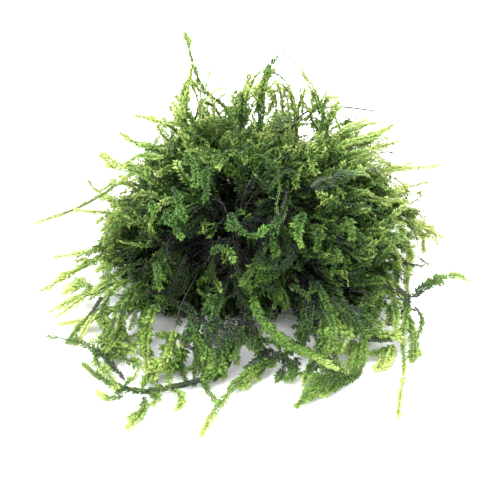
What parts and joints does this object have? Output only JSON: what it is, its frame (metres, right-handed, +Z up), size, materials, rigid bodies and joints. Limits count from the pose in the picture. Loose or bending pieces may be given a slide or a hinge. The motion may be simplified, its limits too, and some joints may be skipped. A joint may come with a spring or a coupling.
{
  "type": "aquarium moss clump",
  "caption": "Loose tangled clump of branching aquatic moss lying on a surface, with feathery shoots reaching out on all sides.",
  "frame": {"origin": "on the surface the clump rests on, under the middle of the mat", "axes": "+Z up, -Y the pictured front, +X to the right seen from the front"},
  "size_m": [0.0922, 0.1037, 0.0455],
  "materials": {
    "old_moss": "dark wet tangled moss",
    "runner_moss": "wet leafy moss",
    "green_moss": "wet leafy moss",
    "pale_moss": "wet translucent young moss",
    "bare_stem": "dull wiry stem"
  },
  "bodies": {
    "root": {"frond_front": "pale_moss", "frond_front_feather": "pale_moss", "frond_front_hook": "pale_moss", "frond_right": "pale_moss", "moss_mat": "old_moss", "runner_front_left": "runner_moss", "runner_front_right": "runner_moss", "runner_left": "runner_moss", "shoot_back_arch": "green_moss", "shoot_back_high": "green_moss", "shoot_back_left_high": "green_moss", "shoot_back_left_long": "green_moss", "shoot_back_left_low": "green_moss", "shoot_back_low": "green_moss", "shoot_back_right_high": "green_moss", "shoot_back_right_long": "green_moss", "shoot_back_right_low": "green_moss", "shoot_crown_left": "green_moss", "shoot_drooping_hoop": "green_moss", "shoot_drooping_inner": "green_moss", "shoot_drooping_left": "green_moss", "shoot_drooping_middle": "green_moss", "shoot_drooping_pale": "green_moss", "shoot_front_droop": "green_moss", "shoot_front_left_spur": "green_moss", "shoot_front_left_tip": "green_moss", "shoot_front_low": "green_moss", "shoot_left_back_low": "green_moss", "shoot_left_brow": "green_moss", "shoot_left_comb": "green_moss", "shoot_left_crest": "green_moss", "shoot_left_foot": "green_moss", "shoot_left_forked": "green_moss", "shoot_left_longest": "green_moss", "shoot_left_low": "green_moss", "shoot_left_pale": "green_moss", "shoot_left_reaching": "green_moss", "shoot_left_shoulder": "green_moss", "shoot_right_comb": "green_moss", "shoot_right_curl": "green_moss", "shoot_right_loop": "green_moss", "shoot_right_low": "green_moss", "shoot_right_pale": "green_moss", "shoot_right_reaching": "green_moss", "shoot_right_small": "green_moss", "shoot_right_star": "green_moss", "shoot_right_stay": "green_moss", "shoot_right_upper": "green_moss", "shoot_top_arch": "green_moss", "shoot_top_bowed": "green_moss", "shoot_top_crossing": "green_moss", "shoot_top_right": "green_moss", "shoot_top_small": "green_moss", "shoot_top_tall": "green_moss", "shoot_top_wiry": "green_moss", "twig_front_bare": "bare_stem", "twig_right_bare": "bare_stem"}
  },
  "joints": []
}
